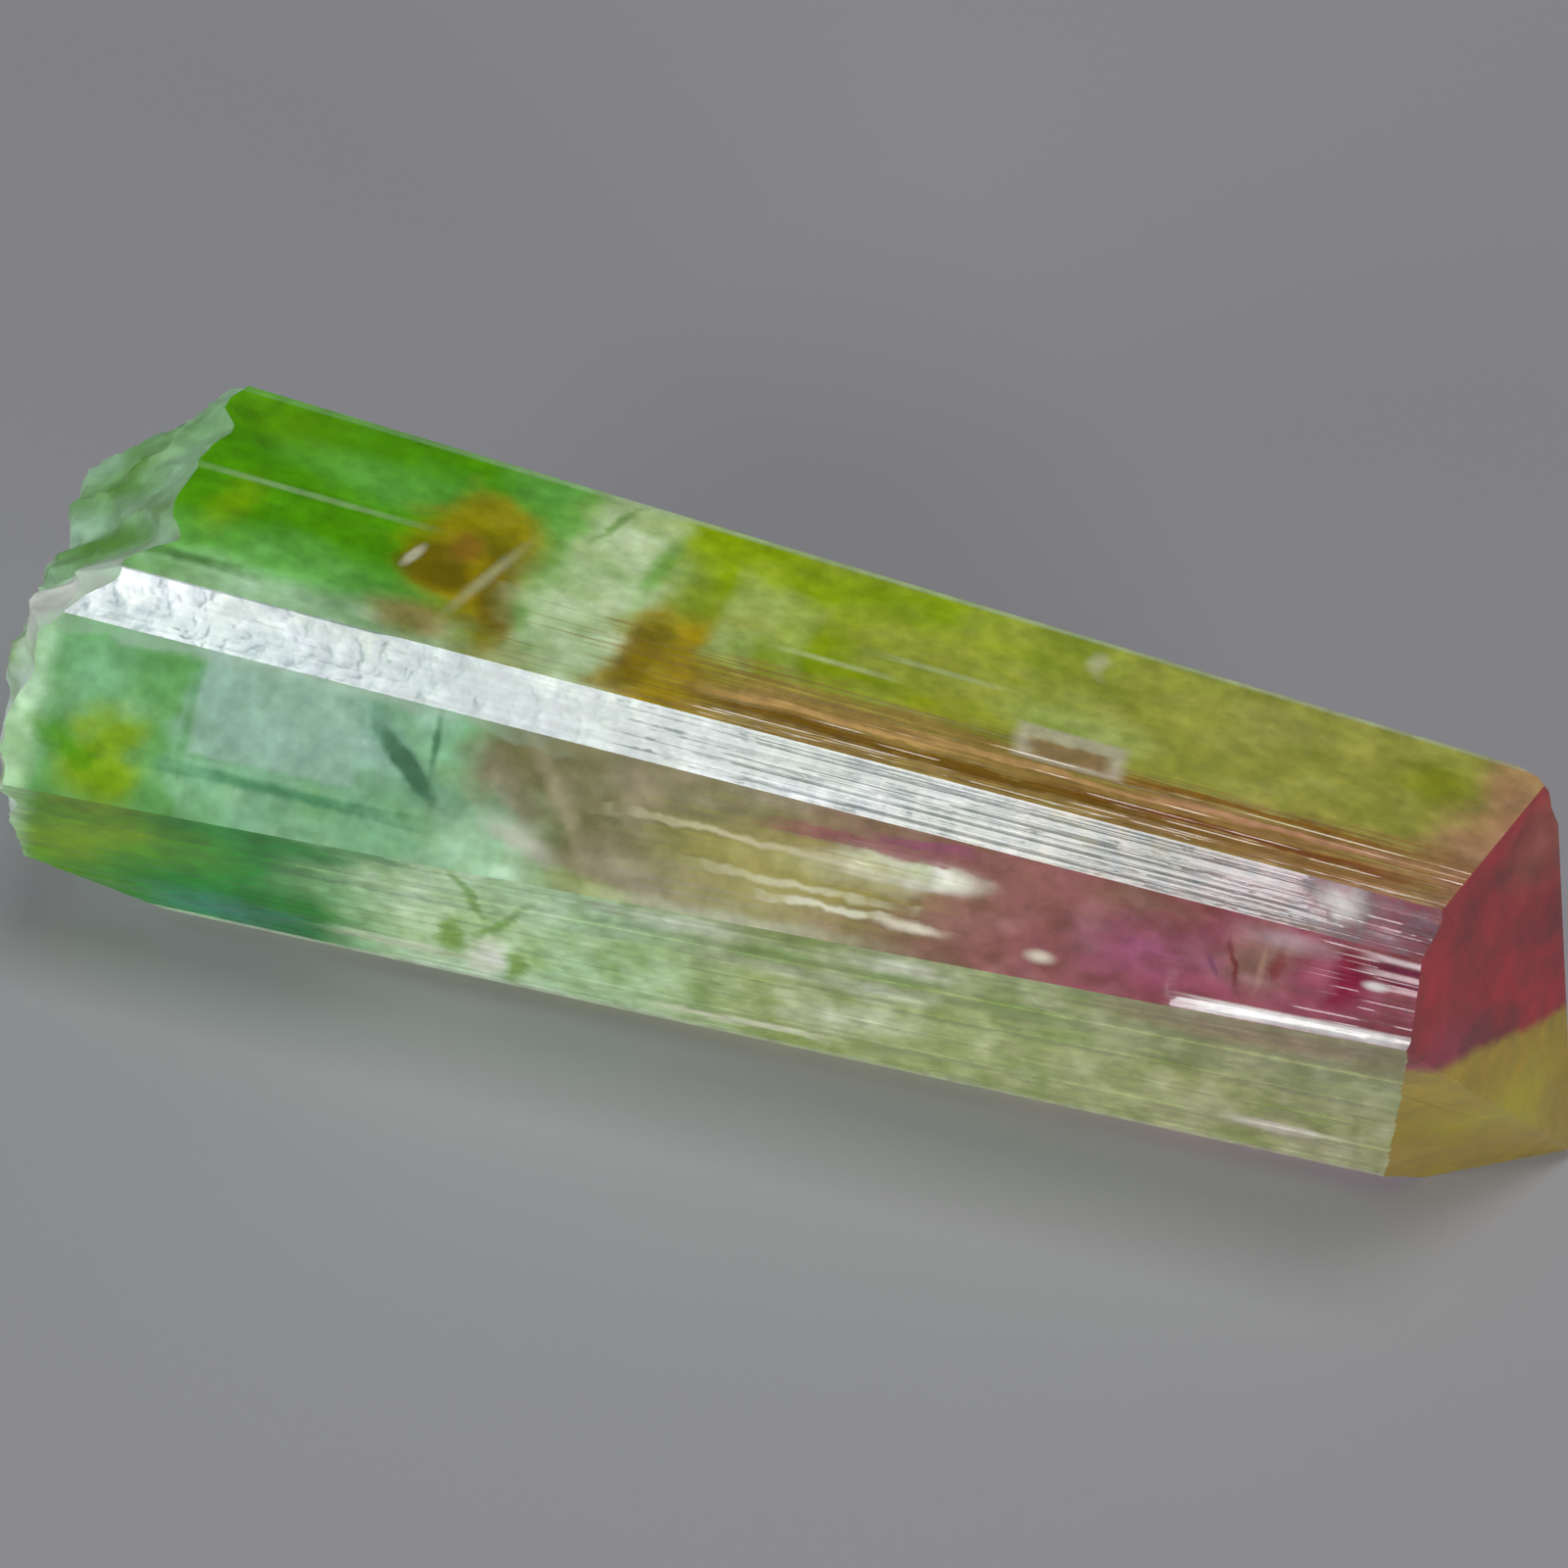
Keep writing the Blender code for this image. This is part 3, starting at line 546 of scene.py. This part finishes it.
def column_places(columns, x):
    """(y, z) of every line at its own x: its face's corners mixed by share, then moved in by the depth."""
    face_of, share, depth, seed = columns
    places = np.zeros(x.shape + (2,))
    for index, face in enumerate(PRISM):
        mine = face_of == index
        xs = x[..., mine]
        start = corner(PRISM[index - 1], face, xs)
        end = corner(face, PRISM[(index + 1) % FACE_COUNT], xs)
        sunk = sunk_depth(face, share[mine], depth[mine], seed[mine], xs)
        places[..., mine, :] = start + (end - start) * share[mine][:, None] - outward(face) * sunk[..., None]
    return places


def point_x(y, z):
    """X of the pointed end above (y, z): the lowest of its planes."""
    planes = [(n, APEX @ n) for n in POINT_NORMALS] + [(CORNER_NORMAL, CORNER_PLACE @ CORNER_NORMAL)]
    return np.min([(d - n[1] * y - n[2] * z) / n[0] for n, d in planes], axis=0)


def break_x(y, z):
    """X of the broken end above (y, z): the highest slope or the shelf, with shell-like ripples and lumps."""
    slopes = [x0 + by * (y - y0) + bz * (z - z0) for x0, y0, z0, by, bz in BREAK_SLOPES]
    shelf = [x0 + by * (y - y0) + bz * (z - z0) for x0, y0, z0, by, bz in SHELF_SLOPES]
    height = np.maximum(np.max(slopes, axis=0), np.min(shelf, axis=0))
    ripple = np.sin(2 * np.pi * np.hypot(y - IMPACT[0], z - IMPACT[1]) / RIPPLE_SPACING)
    bumps = sum(tall * lumps(y, z, cell, 11 + i) for i, (cell, tall) in enumerate(LUMPS))
    bite_share = smooth_step((z - BITE_LEAST_HEIGHT) / BITE_FADE)
    bites = BITE_DEPTH * bite_share * np.abs(lumps(y, z, BITE_SIZE, 19))
    return height + RIPPLE_HEIGHT * ripple + bumps + bites


def settle(columns, end_x, guess):
    """X where each line meets an end surface: put x into the end's formula again and again until it rests."""
    x = np.full(len(columns[0]), guess)
    for _ in range(SETTLE_ROUNDS):
        places = column_places(columns, x)
        x = end_x(places[:, 0], places[:, 1])
    return x


def crystal_grid():
    """The whole surface as a grid of rows round the crystal, from the broken end's middle to the apex.

    Prism rows go straight along each line between its two ends. The broken end shrinks the rim towards a
    middle point and takes X from the break's formula; the pointed end shrinks it towards the apex. It gives
    the grid, that middle point and the lines.
    """
    columns = all_columns()
    x_break = settle(columns, break_x, guess=-23.0)
    x_point = settle(columns, point_x, guess=22.0)
    t = np.linspace(0, 1, RINGS_ALONG)[:, None]
    x = x_break + (x_point - x_break) * t
    sides = np.concatenate((x[..., None], column_places(columns, x)), -1)
    middle = sides[0, :, 1:].mean(axis=0)
    shrink = np.linspace(0, 1, RINGS_BREAK)[1:-1, None, None] ** RING_CROWD
    inner = middle + (sides[0, :, 1:] - middle) * shrink
    left = np.concatenate((break_x(inner[..., 0], inner[..., 1])[..., None], inner), -1)
    shrink = np.linspace(1, 0, RINGS_POINT)[1:-1, None, None]
    inner = APEX[1:] + (sides[-1, :, 1:] - APEX[1:]) * shrink
    right = np.concatenate((point_x(inner[..., 0], inner[..., 1])[..., None], inner), -1)
    start = np.array((break_x(middle[0], middle[1]), *middle))
    return np.concatenate((left, sides, right)), start, columns


def face_chart(points, corner_point, row_count, columns):
    """Place of every polygon corner on the face chart: bands by face and share, ends by Y and Z."""
    face_of, share, _, _ = columns
    widths = np.array([face_width(face) for face in PRISM])[face_of]
    here = BAND * face_of + share * widths
    there = BAND * face_of + np.append(share[1:], 1.0) * widths
    last_of_face = np.append(face_of[1:] != face_of[:-1], True)
    there[last_of_face] = (BAND * face_of + widths)[last_of_face]
    here, there = (np.broadcast_to(v, (row_count - 1, len(here))) for v in (here, there))
    quad_v = np.stack((here, here, there, there), -1)
    place = points[corner_point] / MM
    chart = np.stack((place[:, 0], np.zeros(len(place))), -1)
    chart[:quad_v.size, 1] = quad_v.reshape(-1)
    row = np.repeat(np.arange(row_count - 1), len(share) * 4)
    row = np.concatenate((row, np.zeros(len(share) * 3), np.full(len(share) * 3, row_count)))
    # rows of polygons before the prism's first ring, and after its last
    on_break = row < RINGS_BREAK - 2
    on_point = row >= RINGS_BREAK + RINGS_ALONG - 3
    for end, start in ((on_break, BREAK_CHART), (on_point, POINT_CHART)):
        chart[end] = place[end, 1:] + (0.0, start)
    return chart


def mottle(chart, seed):
    """Cloudy mottle between -1 and 1 on the face chart: three sizes of lumps, drawn out along X."""
    sizes = ((1.0, 0.55), (0.45, 0.35), (0.2, 0.2))
    x, v = chart[:, 0] / 2, chart[:, 1]
    return sum(share * lumps(x, v, cell, seed + i) for i, (cell, share) in enumerate(sizes))


def on_lower_front(chart):
    """Which places of the chart lie on the lower front."""
    return np.abs(chart[:, 1] - LOWER_FRONT_MIDDLE) < LOWER_FRONT_HALF


def on_end(chart, start):
    """Which places of the chart lie on the end that starts there."""
    return np.abs(chart[:, 1] - start) < END_REACH


def flecks(chart, cell, seed):
    """Fine mottle between about -1 and 1, two sizes of lumps: long across the lower front, else along X."""
    lower = on_lower_front(chart)
    x = chart[:, 0] / np.where(lower, 1.0, 1.5)
    v = chart[:, 1] * np.where(lower, 0.4, 1.0)
    return 0.6 * lumps(x, v, cell, seed) + 0.4 * lumps(x + 0.3 * v, v, cell * 0.45, seed + 1)


def zone_colours(chart):
    """Linear colour of the growth zones: each row's tints mixed along X, and the rows into each other."""
    x = chart[:, 0] + mottle(chart, 31) * ZONE_WANDER[0]
    v = chart[:, 1] + mottle(chart, 41) * ZONE_WANDER[1]
    colours = np.zeros((len(chart), 3))
    for index, row in enumerate(ROWS):
        zones_x, tints = zip(*row.zones)
        channels = list(zip(*(linear(TINTS[tint]) for tint in tints)))[:3]
        along = np.stack([np.interp(x, zones_x, channel) for channel in channels], -1)
        take = smooth_step((v - row.start) / (row.full - row.start))[:, None] if index else 1.0
        colours += (along - colours) * take
    return colours


def lay_patches(chart, colours):
    """Mix the patches into the colours: each covers by its distance in half sizes, torn by the mottle."""
    torn = mottle(chart, 51)
    for patch in PATCHES:
        start = CHART_START[patch.face]
        near = np.flatnonzero((chart[:, 1] > start - PATCH_REACH) & (chart[:, 1] < start + BAND))
        turn = math.radians(patch.turn)
        from_x, from_v = chart[near, 0] - patch.x, chart[near, 1] - start - patch.v
        u = np.abs(from_x * math.cos(turn) + from_v * math.sin(turn)) / patch.half_x
        w = np.abs(from_v * math.cos(turn) - from_x * math.sin(turn)) / patch.half_v
        away = (np.maximum(u, w) if patch.box else np.hypot(u, w)) + torn[near] * patch.torn * TEAR
        cover = patch.strength * (1 - smooth_step((away - 1 + patch.soft) / (2 * patch.soft)))
        colours[near] += (np.array(linear(TINTS[patch.tint])[:3]) - colours[near]) * cover[:, None]


def stone_colours(chart):
    """Linear colour at every place of the chart: zones and patches, lightened, darkened and clouded."""
    colours = zone_colours(chart)
    lay_patches(chart, colours)
    calm = np.full(len(chart), CALM_MOTTLE)
    calm[on_lower_front(chart) | on_end(chart, BREAK_CHART)] = 1.0
    calm[on_end(chart, POINT_CHART)] = POINT_MOTTLE
    light = LIGHT_MOTTLE * calm * (0.6 * flecks(chart, 0.5, 61) + 0.9 * flecks(chart, 1.3, 65))
    milk_and_sheen = MILK_MOTTLE * calm * np.maximum(flecks(chart, 0.8, 71), 0.0) * colours.min(axis=1)
    return colours * (1.0 + light[:, None] * MOTTLE_TINT) + milk_and_sheen[:, None]


def frost_cover(chart):
    """How frosted the surface is: 1 on the narrow stripe and the broken end, 0 elsewhere."""
    on_stripe = np.abs(chart[:, 1] - CHART_START["stripe"]) < STRIPE_REACH
    return 1.0 * (on_stripe | on_end(chart, BREAK_CHART))


def store(mesh, name, values):
    """Keep values for every polygon corner on the mesh under a name: single numbers or triples."""
    kind, key = ("FLOAT_VECTOR", "vector") if values.ndim == 2 else ("FLOAT", "value")
    layer = mesh.attributes.new(name, kind, "CORNER")
    layer.data.foreach_set(key, values.astype(np.float32).reshape(-1))


def make_crystal(material):
    """Join the grid into one closed mesh, with its face chart, its colours, its frost and its dull end."""
    rows, start, columns = crystal_grid()
    row_count, column_count, _ = rows.shape
    points = np.concatenate((rows.reshape(-1, 3), start[None], APEX[None])) * MM
    index = np.arange(row_count * column_count).reshape(row_count, column_count)
    after = np.roll(index, -1, axis=1)
    quads = np.stack((index[:-1], index[1:], after[1:], after[:-1]), -1).reshape(-1, 4)
    start_id, end_id = row_count * column_count, row_count * column_count + 1
    first = np.stack((np.full(column_count, start_id), index[0], after[0]), -1)
    last = np.stack((index[-1], np.full(column_count, end_id), after[-1]), -1)
    mesh = bpy.data.meshes.new("tourmaline_surface")
    mesh.from_pydata(points.tolist(), [], quads.tolist() + first.tolist() + last.tolist())
    corner_point = np.zeros(len(mesh.loops), dtype=np.int32)
    mesh.loops.foreach_get("vertex_index", corner_point)
    chart = face_chart(points, corner_point, row_count, columns)
    layer = mesh.uv_layers.new(name="face_mm")
    layer.data.foreach_set("uv", chart.astype(np.float32).reshape(-1))
    store(mesh, "stone_colour", stone_colours(chart))
    store(mesh, "stone_frost", frost_cover(chart))
    store(mesh, "stone_dull", BREAK_ROUGHNESS * on_end(chart, BREAK_CHART))
    mesh.materials.append(material)
    mesh.shade_smooth()
    mesh.set_sharp_from_angle(angle=SHARP_ANGLE)
    mesh.update()
    crystal = bpy.data.objects.new("crystal", mesh)
    bpy.context.scene.collection.objects.link(crystal)
    return crystal


# ---------------------------------------------------------------------------------------------------
# Stone
# ---------------------------------------------------------------------------------------------------
def add_grains(tree, place, chart):
    """The stone's grains, each between 0 and 1: soft cloud, fine mottle, and hairlines along the crystal."""
    cloud = add(tree, "ShaderNodeTexNoise", {
        "Vector": place, "Scale": 1 / (CLOUD * MM), "Detail": 3.0, "Roughness": 0.6})
    fine = add(tree, "ShaderNodeTexNoise", {"Vector": place, "Scale": 1 / (GRAIN * MM), "Detail": 2.0})
    drawn = add(tree, "ShaderNodeMapping", {
        "Vector": chart, "Scale": (1 / HAIRLINE[0], 1 / HAIRLINE[1], 1.0)})
    streak = add(tree, "ShaderNodeTexNoise", {"Vector": drawn.outputs[0], "Scale": 1.0, "Detail": 2.0})
    return {"cloud": cloud, "fine": fine, "streak": streak}


def lay_marks(tree, chart, warped, grains, colour):
    """Lay every mark over the colour: an oval or a box on the chart, its rim torn by a grain.

    Its cover eases out where the distance from its middle, in half sizes, plus the grain passes 1.
    """
    for mark in MARKS:
        local = add(tree, "ShaderNodeMapping", {
            "Vector": chart if mark.ragged < SMOOTH_RIM else warped,
            "Location": (mark.x, CHART_START[mark.face] + mark.v, 0.0),
            "Rotation": (0.0, 0.0, math.radians(mark.turn)),
            "Scale": (mark.half_x, mark.half_v, 1.0),
        }, vector_type="TEXTURE")
        if mark.box:
            sides = add(tree, "ShaderNodeVectorMath", {0: local.outputs[0]}, operation="ABSOLUTE")
            sides = add(tree, "ShaderNodeSeparateXYZ", {0: sides.outputs[0]})
            away = add(tree, "ShaderNodeMath", {
                0: sides.outputs[0], 1: sides.outputs[1]}, operation="MAXIMUM").outputs[0]
        else:
            away = add(tree, "ShaderNodeVectorMath", {
                0: local.outputs[0]}, operation="LENGTH").outputs["Value"]
        grain = grains[mark.grain].outputs["Fac"]
        torn = add(tree, "ShaderNodeMath", {0: grain, 1: mark.ragged * 4, 2: away}, operation="MULTIPLY_ADD")
        shift = 1.0 + mark.ragged * 2
        cover = add(tree, "ShaderNodeMapRange", {
            "Value": torn.outputs[0], "From Min": shift - mark.soft, "From Max": shift + mark.soft,
            "To Min": mark.strength, "To Max": 0.0}, interpolation_type="SMOOTHSTEP")
        mix = add(tree, "ShaderNodeMix", {
            0: cover.outputs[0], 6: colour, 7: linear(mark.colour)}, data_type="RGBA")
        colour = mix.outputs[2]
    return colour


def stone_material():
    """Elbaite tourmaline as it grew: glassy, striated along its length, colour zones and veils inside.

    Its gloss is that of natural faces, hardly dulled; the frosted stripe and the broken end are pitted.
    Its colour also holds painted highlight: the stripe's white, glints, pale streaks and rims.
    """
    material = bpy.data.materials.new("natural_elbaite_tourmaline")
    material.use_nodes = True
    tree = material.node_tree
    shader = tree.nodes["Principled BSDF"]
    place = add(tree, "ShaderNodeTexCoord").outputs["Object"]
    chart = add(tree, "ShaderNodeUVMap", uv_map="face_mm").outputs["UV"]
    wander = add(tree, "ShaderNodeTexNoise", {
        "Vector": place, "Scale": 1 / (MARK_WARP_CELL * MM), "Detail": 3.0, "Roughness": 0.6})
    warped = add(tree, "ShaderNodeVectorMath", {
        0: wander.outputs["Color"], 1: MARK_WARP, 2: chart}, operation="MULTIPLY_ADD")
    warped = add(tree, "ShaderNodeVectorMath", {
        0: warped.outputs[0], 1: tuple(pull / 2 for pull in MARK_WARP)}, operation="SUBTRACT")
    grains = add_grains(tree, place, chart)
    colour = add(tree, "ShaderNodeAttribute", attribute_name="stone_colour").outputs["Color"]
    colour = lay_marks(tree, chart, warped.outputs[0], grains, colour)
    lights = add(tree, "ShaderNodeMapRange", {
        "Value": grains["fine"].outputs["Fac"], "From Min": 0.3, "From Max": 0.7,
        "To Min": 0.85, "To Max": 1.15})
    depths = add(tree, "ShaderNodeMapRange", {
        "Value": grains["cloud"].outputs["Fac"], "From Min": 0.3, "From Max": 0.7,
        "To Min": 0.9, "To Max": 1.1})
    light = add(tree, "ShaderNodeMath", {0: lights.outputs[0], 1: depths.outputs[0]}, operation="MULTIPLY")
    tone = add(tree, "ShaderNodeHueSaturation", {"Value": light.outputs[0], "Color": colour})
    tree.links.new(tone.outputs["Color"], shader.inputs["Base Color"])
    cloudy = add(tree, "ShaderNodeMapRange", {
        "Value": grains["cloud"].outputs["Fac"], "From Min": 0.4, "From Max": 0.65,
        "To Min": ROUGHNESS[0], "To Max": ROUGHNESS[1]})
    dull = add(tree, "ShaderNodeAttribute", attribute_name="stone_dull").outputs["Fac"]
    roughness = add(tree, "ShaderNodeMath", {0: cloudy.outputs[0], 1: dull}, operation="ADD")
    tree.links.new(roughness.outputs[0], shader.inputs["Roughness"])
    shader.inputs["IOR"].default_value = 1.63
    shader.inputs["Transmission Weight"].default_value = 0.5
    relief = add(tree, "ShaderNodeBump", {
        "Height": grains["streak"].outputs["Fac"], "Strength": 0.25, "Distance": HAIRLINE_DEPTH * MM})
    frosted = add(tree, "ShaderNodeAttribute", attribute_name="stone_frost").outputs["Fac"]
    pits = add(tree, "ShaderNodeMath", {0: grains["fine"].outputs["Fac"], 1: frosted}, operation="MULTIPLY")
    pitted = add(tree, "ShaderNodeBump", {
        "Height": pits.outputs[0], "Distance": PIT_DEPTH * MM, "Normal": relief.outputs["Normal"]})
    tree.links.new(pitted.outputs["Normal"], shader.inputs["Normal"])
    return material


# ---------------------------------------------------------------------------------------------------
# Studio
# ---------------------------------------------------------------------------------------------------
def make_floor():
    """A wide pale board that the crystal lies on: matt, so that it mirrors nothing."""
    half = 1500.0
    mesh = bpy.data.meshes.new("floor")
    corners = [(-half, -half, 0), (half, -half, 0), (half, half, 0), (-half, half, 0)]
    mesh.from_pydata([tuple(c * MM for c in p) for p in corners], [], [(0, 1, 2, 3)])
    material = bpy.data.materials.new("matt_pale_board")
    material.use_nodes = True
    shader = material.node_tree.nodes["Principled BSDF"]
    shader.inputs["Base Color"].default_value = linear("#96969b")
    shader.inputs["Roughness"].default_value = 0.9
    mesh.materials.append(material)
    floor = bpy.data.objects.new("floor", mesh)
    bpy.context.scene.collection.objects.link(floor)


def add_softbox(name, elevation, azimuth, distance, size, power, shadow=True):
    """A square studio light that faces the crystal; the angles are in degrees, azimuth 0 is the front."""
    light = bpy.data.lights.new(name, "AREA")
    light.use_shadow = shadow
    light.shape = "SQUARE"
    light.size = size * MM
    light.energy = power
    lamp = bpy.data.objects.new(name, light)
    el, az = math.radians(elevation), math.radians(azimuth)
    way = np.array((math.sin(az) * math.cos(el), -math.cos(az) * math.cos(el), math.sin(el)))
    lamp.location = (VIEW_TARGET + way * distance) * MM
    lamp.rotation_mode = "QUATERNION"
    lamp.rotation_quaternion = Vector(way.tolist()).to_track_quat("Z", "Y")
    bpy.context.scene.collection.objects.link(lamp)


def make_studio():
    """Soft light from above, low fills from both front sides and from behind, and a dim grey room."""
    add_softbox("key_softbox", 80.0, 0.0, 700.0, 300.0, 1.9)
    add_softbox("glow_softbox", 80.0, 0.0, 700.0, 300.0, 1.2, shadow=False)
    add_softbox("left_fill", 6.0, -42.0, 700.0, 250.0, 3.6)
    add_softbox("right_fill", 6.0, 42.0, 700.0, 250.0, 3.6)
    add_softbox("back_fill", 14.0, 180.0, 700.0, 300.0, 0.15)
    world = bpy.data.worlds.new("room")
    world.use_nodes = True
    background = world.node_tree.nodes["Background"]
    background.inputs["Color"].default_value = linear("#a8a8ac")
    background.inputs["Strength"].default_value = 0.12
    bpy.context.scene.world = world
    bpy.context.scene.view_settings.view_transform = "Standard"


def make_camera():
    """The camera above the front of the crystal, rolled so that the crystal runs down to the right."""
    data = bpy.data.cameras.new("camera")
    data.sensor_width = SENSOR_MM
    data.lens = PIXELS_PER_RADIAN / FRAME_PIXELS * SENSOR_MM
    camera = bpy.data.objects.new("camera", data)
    back = np.array((0.0, -math.cos(VIEW_HEIGHT_ANGLE), math.sin(VIEW_HEIGHT_ANGLE)))
    level_up = np.array((0.0, math.sin(VIEW_HEIGHT_ANGLE), math.cos(VIEW_HEIGHT_ANGLE)))
    level_right = np.array((1.0, 0.0, 0.0))
    right = math.cos(VIEW_ROLL) * level_right + math.sin(VIEW_ROLL) * level_up
    up = -math.sin(VIEW_ROLL) * level_right + math.cos(VIEW_ROLL) * level_up
    place = (VIEW_TARGET + VIEW_DISTANCE * back) * MM
    camera.matrix_world = Matrix([[right[i], up[i], back[i], place[i]] for i in range(3)] + [[0, 0, 0, 1]])
    bpy.context.scene.collection.objects.link(camera)
    bpy.context.scene.camera = camera


def main():
    """Dress the crystal, light it and look at it."""
    crystal = make_crystal(stone_material())
    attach(crystal, "root")
    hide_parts(NODE)
    make_floor()
    make_studio()
    make_camera()


main()
